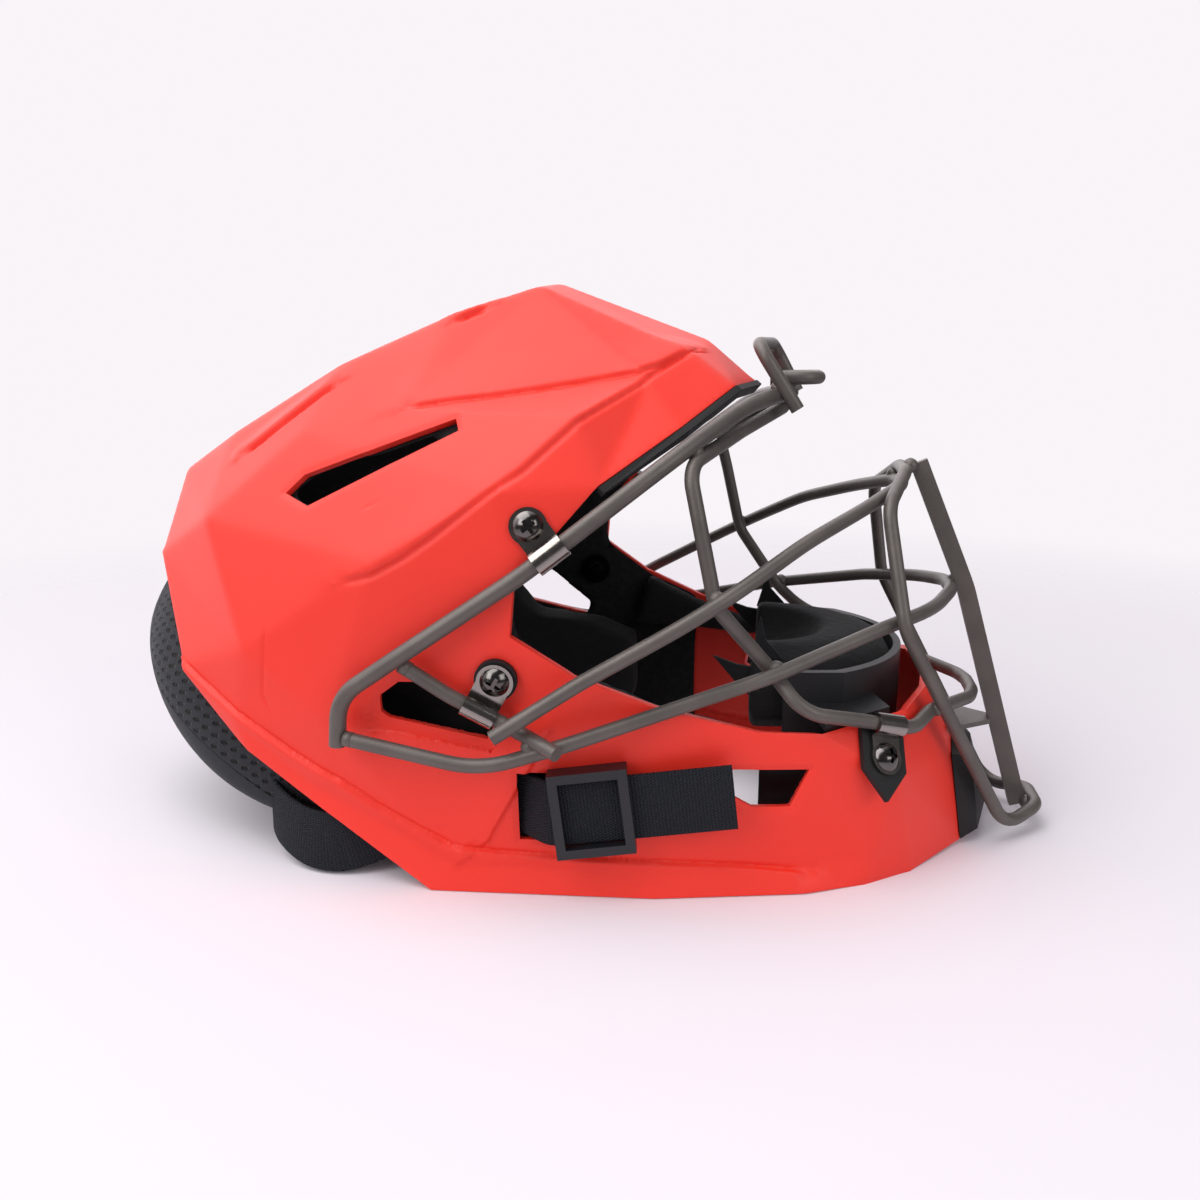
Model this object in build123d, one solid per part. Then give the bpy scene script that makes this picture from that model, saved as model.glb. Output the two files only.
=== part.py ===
from build123d import *
import math
import os

# Catcher's helmet: a moulded shell with facets, a welded steel wire cage clamped on with
# six clips, black liner pads, a chin cup, and two elastic straps with sliders.
# Millimetres. X points forward (the face), Y to the wearer's left, Z up.
# The jaw stands on Z = 0, and the middle of the overall length is at X = 0.

# Driving sizes of the whole helmet. Every table of shares below is read as
# (share of span_length, share of span_width, share of span_height).
span_length = 400.0
span_width = 240.0
span_height = 220.0
forward_shift = -13.1       # moves the ear line back so that the box is centred on X = 0

# Moulded shell
shell_wall = 3.2
head_centre_shares = (-0.02, 0, 0.33)
cut_overrun = 30.0

# Cage wire
wire = 5.2                  # eye, mouth and throat wires
frame_wire = 6.0            # the thicker brow wire
bar_depth = 6.8             # flat centre bar, seen from the side
bar_thickness = 4.2
wire_gap = 0.4              # between a wire and the shell or a rubber pad
bend_share = 0.45           # most of the shorter run that a bend may take up
wide_bend = 110.0           # bend radii: the brow and eye arches,
open_bend = 45.0            # the mouth bar and cheeks,
knee_bend = 14.0            # the eye loop's and throat wire's knees,
tight_bend = 8.0            # and the small loops over the brow
bar_bend = 60.0

# Clips and screws
clip_length = 12.0
clip_sheet = 1.2
clip_tab_width = 13.0
tab_reach = 11.5            # from the wire's middle to the screw's middle
screw_shank = 4.2
screw_head = 10.4
screw_head_rise = 2.8
drive_recess_width = 1.3
drive_recess_length = 5.4
drive_recess_depth = 1.5
shank_clearance = 0.3
nut_flange = 15.0
nut_flange_sheet = 1.4
nut_barrel = 6.4
nut_barrel_length = 4.4
nut_bore_length = 17.6
nut_turn_step = 15          # degrees between the points tried round a nut's flange
disc_diameter = 15.0
disc_thickness = 2.4
clamp_pad_thickness = 2.2
clamp_pad_length = 30.0
clamp_pad_width = 19.0
clamp_pad_top_share = 0.47
clamp_pad_shoulder_share = 0.16
seat_gap = 0.3              # soft pads and rubber lie this far from what carries them

# Soft liner
brow_pad_thickness = 13.0
crown_pad_thickness = 11.0
side_pad_thickness = 13.0
jaw_pad_thickness = 9.0
pad_margin = 1.2            # how far each pad's border stays inside its facets
pad_draft_share = 0.12      # how much a pad's inner face is drawn in
neck_pad_thickness = 14.0
neck_draft_share = 0.04

# Chin guard: the cup, its pad, the rubber bumper and the bracket behind the centre bar
cup_wall = 3.0
cup_height = 30.0
cup_floor_hole = 22.0
ear_thickness = 2.4
chin_pad_height = 40.0
chin_pad_round = 9.0
chin_pad_slope = 14.4       # how far the pad's shoulders are drawn in, and how far below its top
chin_hollow_radius = 34.0
bumper_thickness = 8.0
bumper_draft_share = 0.2
bracket_sheet = 2.0
bracket_gap = 0.9           # between the bracket's root and the shell

# Rubber brow trim
trim_width = 4.6
trim_height = 2.4
trim_gap = 0.6              # between the trim and the shell's edge

# Straps and sliders
strap_width = 24.0
strap_thickness = 1.8
slider_length = 28.0
slider_bar = 3.4
slider_depth = 2.4
slider_clearance = 0.35
slot_length = 11.0
slot_clearance = 1.5

os.makedirs("parts", exist_ok=True)


def spot(shares):
    """A point of the helmet from its shares of length, width and height."""
    along, out, up = shares
    return Vector(along * span_length, out * span_width, up * span_height)


def write(node, *solids):
    """Shift the solids of a finished piece onto the helmet's own axes and save them."""
    shifted = [Pos(forward_shift, 0, 0) * solid for solid in solids]
    shape = shifted[0] if len(shifted) == 1 else Compound(shifted)
    export_step(shape, f"parts/{node}.step")


def mirrored(shape):
    """The mirror image on the wearer's other side."""
    return mirror(shape, about=Plane.XZ)


# The shell's outer surface: corners where the moulded facets meet, on the wearer's left half
corner_shares = {
    "rim_back": (-0.427, 0, 0.482),
    "back_top": (-0.38, 0, 0.668),
    "ridge_rear": (-0.315, 0, 0.755),
    "ridge_mid": (-0.195, 0, 0.877),
    "crown_rear": (-0.075, 0, 0.959),
    "crown": (0.01, 0, 0.998),
    "brow_top": (0.163, 0, 0.895),
    "brow_edge": (0.21, 0, 0.823),
    "back_top_out": (-0.37, 0.142, 0.659),
    "ridge_rear_out": (-0.305, 0.175, 0.727),
    "ridge_mid_out": (-0.185, 0.183, 0.85),
    "crown_rear_out": (-0.075, 0.158, 0.936),
    "crown_out": (0.005, 0.108, 0.986),
    "brow_top_out": (0.158, 0.15, 0.868),
    "brow_edge_out": (0.195, 0.167, 0.818),
    "rim_back_out": (-0.385, 0.2, 0.509),
    "nape": (-0.292, 0.317, 0.595),
    "vent_brow": (-0.2, 0.275, 0.741),
    "crest_foot": (-0.1, 0.283, 0.782),
    "crest_tip": (0.122, 0.242, 0.832),
    "brow_side": (0.155, 0.287, 0.759),
    "rim_side": (-0.328, 0.317, 0.332),
    "nape_low": (-0.237, 0.4, 0.391),
    "ear_rear": (-0.102, 0.429, 0.555),
    "ear_top": (0.005, 0.417, 0.664),
    "temple_top": (0.068, 0.35, 0.773),
    "temple_edge": (0.09, 0.383, 0.673),
    "ear_edge": (0.022, 0.421, 0.527),
    "ear_corner": (0.018, 0.421, 0.441),
    "rim_low": (-0.242, 0.383, 0.209),
    "rim_foot": (-0.155, 0.404, 0.109),
    "band_low": (-0.253, 0.379, 0.255),
    "band_foot": (-0.17, 0.396, 0.155),
    "jaw_rear": (-0.15, 0.429, 0.282),
    "cheek_rear": (0.072, 0.408, 0.377),
    "cheek_mid": (0.142, 0.388, 0.327),
    "cheek_front": (0.23, 0.35, 0.282),
    "cheek_dip": (0.285, 0.317, 0.273),
    "chin_flange": (0.365, 0.2, 0.282),
    "chin_lip_out": (0.388, 0.117, 0.3),
    "chin_lip": (0.398, 0, 0.309),
    "belt_rear": (0.05, 0.408, 0.245),
    "belt_mid": (0.142, 0.383, 0.245),
    "belt_front": (0.23, 0.35, 0.245),
    "belt_dip": (0.29, 0.321, 0.236),
    "chin_side": (0.355, 0.275, 0.191),
    "chin_nose_out": (0.415, 0.121, 0.173),
    "chin_nose": (0.425, 0, 0.173),
    "band_rear": (-0.04, 0.404, 0.041),
    "band_mid": (0.142, 0.375, 0.041),
    "band_front": (0.27, 0.321, 0.041),
    "foot_rear": (-0.06, 0.421, 0),
    "foot_mid": (0.142, 0.388, 0),
    "foot_front": (0.275, 0.333, 0),
    "chin_foot_side": (0.33, 0.287, 0),
    "chin_foot_out": (0.375, 0.233, 0),
    "chin_toe_out": (0.43, 0.117, 0.009),
    "chin_toe": (0.45, 0, 0.018),
}

shell_places = {name: spot(shares) for name, shares in corner_shares.items()}

# The facets between those corners. A facet of four corners folds along its first diagonal.
dome_facets = [
    ("rim_back", "back_top", "back_top_out", "rim_back_out"),
    ("back_top", "ridge_rear", "ridge_rear_out", "back_top_out"),
    ("ridge_rear", "ridge_mid", "ridge_mid_out", "ridge_rear_out"),
    ("ridge_mid", "crown_rear", "crown_rear_out", "ridge_mid_out"),
    ("crown_rear", "crown", "crown_out", "crown_rear_out"),
    ("crown", "brow_top", "brow_top_out", "crown_out"),
    ("brow_top", "brow_edge", "brow_edge_out", "brow_top_out"),
    ("back_top_out", "ridge_rear_out", "nape"),
    ("back_top_out", "nape", "rim_back_out"),
    ("ridge_rear_out", "ridge_mid_out", "vent_brow"),
    ("ridge_rear_out", "vent_brow", "nape"),
    ("ridge_mid_out", "crown_rear_out", "crest_foot"),
    ("ridge_mid_out", "crest_foot", "vent_brow"),
    ("crown_rear_out", "crown_out", "crest_foot"),
    ("crown_out", "brow_top_out", "crest_tip"),
    ("crown_out", "crest_tip", "crest_foot"),
    ("brow_top_out", "brow_edge_out", "brow_side"),
    ("brow_top_out", "brow_side", "crest_tip"),
]
side_facets = [
    ("rim_back_out", "nape", "nape_low"),
    ("rim_back_out", "nape_low", "rim_side"),
    ("nape", "vent_brow", "ear_rear"),
    ("nape", "ear_rear", "nape_low"),
    ("vent_brow", "crest_foot", "ear_top"),
    ("vent_brow", "ear_top", "ear_rear"),
    ("crest_foot", "crest_tip", "temple_top"),
    ("crest_foot", "temple_top", "ear_top"),
    ("crest_tip", "brow_side", "temple_edge"),
    ("crest_tip", "temple_edge", "temple_top"),
    ("temple_top", "temple_edge", "ear_top"),
    ("ear_top", "temple_edge", "ear_edge"),
    ("ear_rear", "ear_top", "ear_edge"),
    ("ear_rear", "ear_edge", "ear_corner"),
    ("nape_low", "ear_rear", "jaw_rear"),
    ("ear_rear", "ear_corner", "jaw_rear"),
    ("rim_side", "nape_low", "band_low"),
    ("rim_side", "band_low", "rim_low"),
    ("nape_low", "jaw_rear", "band_low"),
    ("band_low", "jaw_rear", "band_foot"),
    ("band_low", "band_foot", "rim_foot", "rim_low"),
    ("jaw_rear", "band_rear", "band_foot"),
    ("band_foot", "band_rear", "foot_rear", "rim_foot"),
]
jaw_facets = [
    ("jaw_rear", "ear_corner", "cheek_rear"),
    ("jaw_rear", "cheek_rear", "belt_rear"),
    ("jaw_rear", "belt_rear", "band_rear"),
    ("cheek_rear", "cheek_mid", "belt_mid", "belt_rear"),
    ("cheek_mid", "cheek_front", "belt_front", "belt_mid"),
    ("cheek_front", "cheek_dip", "belt_dip", "belt_front"),
    ("cheek_dip", "chin_flange", "chin_side", "belt_dip"),
    ("chin_flange", "chin_lip_out", "chin_nose_out", "chin_side"),
    ("chin_lip_out", "chin_lip", "chin_nose", "chin_nose_out"),
    ("belt_rear", "belt_mid", "band_mid", "band_rear"),
    ("belt_mid", "belt_front", "band_front", "band_mid"),
    ("belt_front", "belt_dip", "band_front"),
    ("band_rear", "band_mid", "foot_mid", "foot_rear"),
    ("band_mid", "band_front", "foot_front", "foot_mid"),
    ("belt_dip", "chin_side", "chin_foot_side"),
    ("belt_dip", "chin_foot_side", "band_front"),
    ("band_front", "chin_foot_side", "foot_front"),
    ("chin_side", "chin_foot_out", "chin_foot_side"),
    ("chin_side", "chin_nose_out", "chin_toe_out", "chin_foot_out"),
    ("chin_nose_out", "chin_nose", "chin_toe", "chin_toe_out"),
]
shell_facets = dome_facets + side_facets + jaw_facets


def in_threes(facets):
    """Split every facet of four corners into two of three."""
    split = []
    for facet in facets:
        for first, second in zip(facet[1:], facet[2:]):
            split.append((facet[0], first, second))
    return split


def both_sides(facets, places=shell_places):
    """Facets of three corners on both halves, as (name, side) corners wound to face outward."""
    wound = []
    head_centre = spot(head_centre_shares)
    for facet in in_threes(facets):
        points = [places[name] for name in facet]
        middle = (points[0] + points[1] + points[2]) / 3
        turn = (points[1] - points[0]).cross(points[2] - points[0])
        if turn.dot(middle - head_centre) < 0:
            facet = facet[::-1]
        for side in (1, -1):
            names = facet if side == 1 else facet[::-1]
            wound.append(tuple((name, side if places[name].Y else 0) for name in names))
    return wound


def corner(key, places=shell_places):
    """A corner of the outer surface on one side."""
    name, side = key
    point = places[name]
    return Vector(point.X, point.Y * side, point.Z)


def lean_of(wound, places=shell_places):
    """For each corner, the inward step that keeps its facets one unit of wall apart."""
    sums = {}
    for facet in wound:
        a, b, c = (corner(key, places) for key in facet)
        normal = (b - a).cross(c - a).normalized()
        for key in facet:
            sums.setdefault(key, []).append(normal)
    steps = {}
    for key, normals in sums.items():
        mean = sum(normals[1:], normals[0]).normalized()
        spread = sum(mean.dot(normal) for normal in normals) / len(normals)
        steps[key] = mean * (-1 / spread)
        if corner(key, places).Z == 0:
            steps[key] = Vector(steps[key].X, steps[key].Y, 0)
    return steps


shell_steps = lean_of(both_sides(shell_facets))


def solid_of(triangles):
    """A solid bounded by the given triangles."""
    return Solid(Shell([Face(Wire.make_polygon(points)) for points in triangles]))


def layer(wound, near, far, margin=0, draft_share=0, places=shell_places, steps=shell_steps):
    """A layer that follows the given facets, from depth near to depth far inside them."""
    uses = {}
    for facet in wound:
        for edge in zip(facet, facet[1:] + facet[:1]):
            uses[edge] = True
    border = [edge for edge in uses if (edge[1], edge[0]) not in uses]
    keys = {key for facet in wound for key in facet}
    centre = sum((corner(key, places) for key in keys), Vector(0, 0, 0)) / len(keys)
    on_border = {key for edge in border for key in edge}
    outer, inner = {}, {}
    for key in keys:
        here = corner(key, places)
        top, under = here + steps[key] * near, here + steps[key] * far
        if key in on_border:
            top = top + (centre - here).normalized() * margin
            under = under + (centre - here).normalized() * margin + (centre - here) * draft_share
        outer[key], inner[key] = top, under
    triangles = []
    for a, b, c in wound:
        triangles.append((outer[a], outer[b], outer[c]))
        triangles.append((inner[c], inner[b], inner[a]))
    for a, b in border:
        triangles.append((outer[b], outer[a], inner[a]))
        triangles.append((outer[b], inner[a], inner[b]))
    return solid_of(triangles)


# Openings through the shell, outlines in side view (share of length, share of height)
ear_vent_shares = [(-0.083, 0.36), (-0.101, 0.335), (-0.101, 0.306), (-0.094, 0.297), (-0.006, 0.266)]
ear_vent_shares += [(0, 0.288), (-0.056, 0.362)]
side_vent_shares = [(-0.045, 0.77), (-0.04, 0.752), (-0.18, 0.628), (-0.207, 0.645), (-0.19, 0.675)]
slot_along_share, slot_up_share = 0.034, 0.151
cheek_vent_shares = [(0.209, 0.218), (0.276, 0.214), (0.26, 0.15), (0.227, 0.15), (0.205, 0.175)]


def sideways_cut(shares):
    """A cutter from the middle out through the left wall."""
    outline = [Vector(along * span_length, 0, up * span_height) for along, up in shares]
    return extrude(Face(Wire.make_polygon(outline)), amount=span_width / 2 + cut_overrun, dir=(0, 1, 0))


def seat_plane(facet, along_share, up_share, direction_shares, depth=0):
    """A plane on a left-hand facet of the shell: outward normal, x along the given direction."""
    a, b, c = (corner((name, 1)) + shell_steps[(name, 1)] * depth for name in facet)
    normal = (b - a).cross(c - a).normalized()
    if normal.Y < 0:
        normal = normal * -1
    x, z = along_share * span_length, up_share * span_height
    y = a.Y - (normal.X * (x - a.X) + normal.Z * (z - a.Z)) / normal.Y
    heading = Vector(direction_shares[0] * span_length, 0, direction_shares[1] * span_height)
    heading = heading - normal * heading.dot(normal)
    return Plane(origin=(x, y, z), x_dir=heading, z_dir=normal)


# The three clip sites of the left side: the plane under the screw, the rubber under the tab,
# and the diameter of the wire that the clip holds
seat_tables = {
    "upper": (("ear_top", "temple_edge", "ear_edge"), 0.034, 0.614, (0.2, 0.273)),
    "middle": (("jaw_rear", "ear_corner", "cheek_rear"), 0.005, 0.372, (0.22, -0.218)),
    "lower": (("cheek_dip", "chin_flange", "chin_side"), 0.339, 0.221, (-0.25, -0.045)),
}
clip_sites = {
    "upper": (seat_plane(*seat_tables["upper"]), 0, frame_wire),
    "middle": (seat_plane(*seat_tables["middle"]), disc_thickness, wire),
    "lower": (seat_plane(*seat_tables["lower"]), clamp_pad_thickness, wire),
}


def wire_height(site):
    """Height of the held wire's middle above the shell at a clip site."""
    _, rubber, diameter = clip_sites[site]
    return rubber + diameter / 2 + wire_gap


def held_run(site, half_run):
    """The two ends of the straight run of wire under a clip."""
    plane = clip_sites[site][0]
    return [plane.from_local_coords(Vector(x, tab_reach, wire_height(site))) for x in (-half_run, half_run)]


def bent_path(points, bend_radius):
    """Straight runs joined by tangent arcs of one radius, or less where the runs are short."""
    edges = []
    start = points[0]
    for before, here, after in zip(points, points[1:], points[2:]):
        back, ahead = before - here, after - here
        half_turn = math.radians(180 - back.get_angle(ahead)) / 2
        trim = min(bend_share * min(back.length, ahead.length), bend_radius * math.tan(half_turn))
        radius = trim / math.tan(half_turn)
        entry, leave = here + back.normalized() * trim, here + ahead.normalized() * trim
        inward = (back.normalized() + ahead.normalized()).normalized()
        middle = here + inward * (radius / math.cos(half_turn) - radius)
        edges.append(Line(start, entry).edge())
        edges.append(ThreePointArc(entry, middle, leave).edge())
        start = leave
    edges.append(Line(start, points[-1]).edge())
    return Wire(edges)


def tube(points, diameter, bend_radius):
    """A round wire along straight runs with bends."""
    path = bent_path(points, bend_radius)
    section = Plane(origin=points[0], z_dir=points[1] - points[0]) * Circle(diameter / 2)
    return sweep(section, path=path)


def whole_wire(points, diameter, bend_radius):
    """A wire that crosses the middle of the face: the left half and its mirror image."""
    half = tube(points, diameter, bend_radius)
    return half + mirrored(half)


# Cage wires of the left half, from the middle of the face outward (shares as above)
brow_wire_front_shares = [(0.246, 0, 0.803), (0.246, 0.05, 0.803), (0.232, 0.128, 0.8), (0.206, 0.208, 0.785)]
brow_wire_front_shares += [(0.175, 0.29, 0.745), (0.135, 0.358, 0.69)]
brow_wire_rear_shares = [(-0.076, 0.457, 0.41), (-0.129, 0.462, 0.343), (-0.133, 0.46, 0.262)]
eye_loop_upper_shares = [(0.239, 0, 0.778), (0.239, 0.06, 0.778), (0.203, 0.19, 0.745), (0.163, 0.332, 0.7)]
eye_loop_upper_shares += [(0.173, 0.35, 0.625), (0.19, 0.362, 0.487), (0.24, 0.308, 0.369), (0.268, 0.342, 0.315)]
eye_loop_front_shares = [(0.388, 0.17, 0.27), (0.433, 0.07, 0.264), (0.439, 0.03, 0.264), (0.439, 0, 0.264)]
eye_bar_shares = [(0.357, 0, 0.643), (0.357, 0.04, 0.643), (0.322, 0.148, 0.618), (0.265, 0.268, 0.575)]
eye_bar_shares += [(0.19, 0.397, 0.492), (0.08, 0.442, 0.378), (0.01, 0.478, 0.297)]
mouth_bar_shares = [(0.411, 0, 0.455), (0.411, 0.04, 0.455), (0.388, 0.135, 0.442), (0.337, 0.212, 0.423)]
mouth_bar_shares += [(0.24, 0.337, 0.372), (0.066, 0.453, 0.28), (-0.004, 0.464, 0.238), (-0.1195, 0.466, 0.275)]
throat_wire_shares = [(0.359, 0, 0.668), (0.359, 0.05, 0.668), (0.339, 0.158, 0.618), (0.357, 0.221, 0.425)]
throat_wire_shares += [(0.474, 0.098, 0.031), (0.511, 0.04, 0.05), (0.511, 0, 0.05)]
strut_rear_shares = (-0.067, 0.45, 0.39)
strut_front_shares = (0.066, 0.48, 0.279)
upright_loop_shares = [(0.253, -0.13, 0.777), (0.214, -0.13, 0.886), (0.226, 0.13, 0.89), (0.253, 0.13, 0.8)]
forward_loop_shares = [(0.226, 0.08, 0.828), (0.272, 0.08, 0.83), (0.272, -0.08, 0.83), (0.226, -0.08, 0.828)]
centre_bar_shares = [(0.374, 0, 0.68), (0.428, 0, 0.452), (0.497, 0, 0.035)]


def spots(table):
    """Points of the helmet from a table of shares."""
    return [spot(shares) for shares in table]


upper_run = held_run("upper", clip_length)
middle_run = held_run("middle", clip_length)
lower_run = held_run("lower", clip_length)

brow_wire_points = spots(brow_wire_front_shares) + upper_run[::-1] + spots(brow_wire_rear_shares)
brow_wire = whole_wire(brow_wire_points, frame_wire, wide_bend)
eye_loop_points = spots(eye_loop_upper_shares) + lower_run[::-1] + spots(eye_loop_front_shares)
eye_loop = whole_wire(eye_loop_points, wire, knee_bend)
eye_bar = whole_wire(spots(eye_bar_shares), wire, wide_bend)
mouth_bar = whole_wire(spots(mouth_bar_shares), wire, open_bend)
throat_wire = whole_wire(spots(throat_wire_shares), wire, knee_bend)
cheek_strut = tube([spot(strut_rear_shares)] + middle_run + [spot(strut_front_shares)], wire, open_bend)
upright_loop = tube(spots(upright_loop_shares), wire, tight_bend)
forward_loop = tube(spots(forward_loop_shares), wire, tight_bend)

bar_path = bent_path(spots(centre_bar_shares), bar_bend)
bar_plane = Plane(origin=spot(centre_bar_shares[0]), x_dir=(0, 1, 0),
                  z_dir=spot(centre_bar_shares[1]) - spot(centre_bar_shares[0]))
centre_bar = sweep(bar_plane * Rectangle(bar_thickness, bar_depth), path=bar_path)

for node, piece in (
    ("cage_brow_wire", brow_wire),
    ("cage_eye_loop", eye_loop),
    ("cage_eye_bar", eye_bar),
    ("cage_mouth_bar", mouth_bar),
    ("cage_throat_wire", throat_wire),
    ("cage_cheek_strut_left", cheek_strut),
    ("cage_cheek_strut_right", mirrored(cheek_strut)),
    ("cage_upright_loop", upright_loop),
    ("cage_forward_loop", forward_loop),
    ("cage_centre_bar", centre_bar),
):
    write(node, piece)


def clip_of(site):
    """A sheet-metal clip: a tab under the screw and a saddle over the wire."""
    plane, rubber, diameter = clip_sites[site]
    height = wire_height(site)
    inner = diameter / 2 + wire_gap / 2
    outer = inner + clip_sheet
    saddle = Circle(outer) - Circle(inner)
    saddle -= Pos(-outer, -outer) * Rectangle(2 * outer, 2 * outer)
    saddle -= Pos(0, -outer - inner / 2) * Rectangle(4 * outer, 2 * outer)
    leg = Pos(-(inner + outer) / 2, -(height - rubber) / 2) * Rectangle(clip_sheet, height - rubber)
    section = Plane(origin=(0, tab_reach, height), x_dir=(0, 1, 0), z_dir=(1, 0, 0)) * (saddle + leg)
    tab_length = tab_reach - inner
    tab = Circle(clip_tab_width / 2) + Pos(0, tab_length / 2) * Rectangle(clip_length, tab_length)
    tab -= Circle(screw_shank / 2 + shank_clearance)
    body = extrude(section, amount=clip_length / 2, both=True)
    body += Pos(0, 0, rubber) * extrude(tab, amount=clip_sheet)
    return plane * (Pos(0, 0, seat_gap / 2) * body)


def nut_depth(site):
    """Depth below the screw's seat at which a nut flange clears the leaning inner wall."""
    plane, facet = clip_sites[site][0], set(seat_tables[site][0])
    depths = []
    for names in in_threes(shell_facets):
        if not facet.intersection(names):
            continue
        a, b, c = (corner((name, 1)) + shell_steps[(name, 1)] * shell_wall for name in names)
        normal = (b - a).cross(c - a)
        for turn in range(0, 360, nut_turn_step):
            rim = Vector(nut_flange / 2, 0).rotate(Axis.Z, turn)
            rim = plane.from_local_coords(rim)
            depths.append((rim - a).dot(normal) / plane.z_dir.dot(normal))
    return max(depths) + seat_gap


def screw_of(site):
    """A truss-head screw with a cross recess."""
    plane, rubber, _ = clip_sites[site]
    under_head = rubber + clip_sheet + seat_gap
    rise = screw_head_rise
    dome_radius = ((screw_head / 2) ** 2 + rise ** 2) / (2 * rise)
    head = Pos(0, 0, rise - dome_radius) * Sphere(dome_radius)
    head &= extrude(Circle(screw_head / 2), amount=rise)
    slot = Box(drive_recess_length, drive_recess_width, 2 * drive_recess_depth)
    head -= Pos(0, 0, rise) * (slot + Rot(0, 0, 90) * slot)
    length = under_head + nut_depth(site) + nut_flange_sheet + nut_barrel_length
    shank = Pos(0, 0, -length / 2) * Cylinder(screw_shank / 2, length)
    return plane * (Pos(0, 0, under_head) * (head + shank))


def nut_of(site):
    """The flanged nut inside the shell."""
    plane = clip_sites[site][0]
    flange = Cylinder(nut_flange / 2, nut_flange_sheet, align=(Align.CENTER, Align.CENTER, Align.MAX))
    barrel = Cylinder(nut_barrel / 2, nut_barrel_length, align=(Align.CENTER, Align.CENTER, Align.MAX))
    bore = Cylinder(screw_shank / 2 + shank_clearance / 2, nut_bore_length)
    body = flange + Pos(0, 0, -nut_flange_sheet) * barrel - bore
    return plane * (Pos(0, 0, -nut_depth(site)) * body)


def bore_of(site):
    """The hole through the shell for a screw."""
    plane = clip_sites[site][0]
    return plane * Cylinder(screw_shank / 2 + shank_clearance, cut_overrun)


shell = layer(both_sides(shell_facets), 0, shell_wall)
for outline in (ear_vent_shares, side_vent_shares, cheek_vent_shares):
    cutter = sideways_cut(outline)
    shell -= cutter
    shell -= mirrored(cutter)
for site in clip_sites:
    bore = bore_of(site)
    shell -= bore
    shell -= mirrored(bore)
slot = Box(slot_length, span_width / 2, strap_width + 2 * slot_clearance)
for side in (1, -1):
    shell -= Pos(slot_along_share * span_length, side * span_width / 2, slot_up_share * span_height) * slot
write("helmet_shell", shell)

for site in clip_sites:
    clip, screw, nut = clip_of(site), screw_of(site), nut_of(site)
    write(f"{site}_clips", clip, mirrored(clip))
    write(f"{site}_screws", screw, mirrored(screw))
    write(f"{site}_nuts", nut, mirrored(nut))


def washer_disc(site):
    """The round rubber disc under a middle tab."""
    height = disc_thickness - seat_gap / 2
    disc = extrude(Circle(disc_diameter / 2) - Circle(screw_shank / 2 + shank_clearance), amount=height)
    return clip_sites[site][0] * (Pos(0, 0, seat_gap / 2) * disc)


def clamp_pad(site):
    """The pointed rubber pad under a lower tab, shaped like a shield."""
    half, top = clamp_pad_width / 2, clamp_pad_length * clamp_pad_top_share
    shoulder, point = -clamp_pad_length * clamp_pad_shoulder_share, top - clamp_pad_length
    outline = [(-half, top), (half, top), (half, shoulder), (0, point), (-half, shoulder)]
    shield = make_face(Polyline(outline, close=True)) - Circle(screw_shank / 2 + shank_clearance)
    height = clamp_pad_thickness - seat_gap / 2
    return clip_sites[site][0] * (Pos(0, 0, seat_gap / 2) * extrude(shield, amount=height))


for site, maker in (("middle", washer_disc), ("lower", clamp_pad)):
    rubber = maker(site)
    write(f"{site}_rubber_pads", rubber, mirrored(rubber))


def ruled_skin(sections):
    """A closed solid through sections of four points each."""
    triangles = []
    for near, far in zip(sections, sections[1:]):
        for i in range(4):
            j = (i + 1) % 4
            triangles.append((near[i], near[j], far[j]))
            triangles.append((near[i], far[j], far[i]))
    first, last = sections[0], sections[-1]
    triangles += [(first[0], first[2], first[1]), (first[0], first[3], first[2])]
    triangles += [(last[0], last[1], last[2]), (last[0], last[2], last[3])]
    return solid_of(triangles)


# Rubber trim along the brow edge of the shell, from temple to temple
trim_corners = [("temple_edge", 1), ("brow_side", 1), ("brow_edge_out", 1), ("brow_edge", 0)]
trim_corners += [(name, -1) for name, _ in trim_corners[-2::-1]]
face_heading_shares = (0.15, 0, -0.35)


def trim_section(before, key, after):
    """Four points of the trim's section at one corner of the edge."""
    along = (corner(after) - corner(before)).normalized()
    inward = shell_steps[key].normalized()
    ahead = along.cross(inward).normalized()
    if ahead.dot(spot(face_heading_shares)) < 0:
        ahead = ahead * -1
    middle = corner(key) + shell_steps[key] * (shell_wall / 2)
    half = inward * (trim_width / 2)
    near, far = ahead * trim_gap, ahead * (trim_gap + trim_height)
    return [middle - half + near, middle - half + far, middle + half + far, middle + half + near]


trim_ends = [trim_corners[0]] + trim_corners + [trim_corners[-1]]
trim = ruled_skin([trim_section(*trio) for trio in zip(trim_ends, trim_corners, trim_ends[2:])])
write("brow_trim", trim)


def liner_pad(facets, thickness):
    """A foam pad behind the given facets."""
    depth = shell_wall + seat_gap
    return layer(facets, depth, depth + thickness, pad_margin, pad_draft_share)


def facets_with(*names):
    """Facets of the shell, both halves, whose corners are all among the given names."""
    return [facet for facet in both_sides(shell_facets) if all(name in names for name, _ in facet)]


def left_only(facets):
    """Those of the facets that lie on the wearer's left half."""
    return [facet for facet in facets if all(side >= 0 for _, side in facet)]


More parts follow.
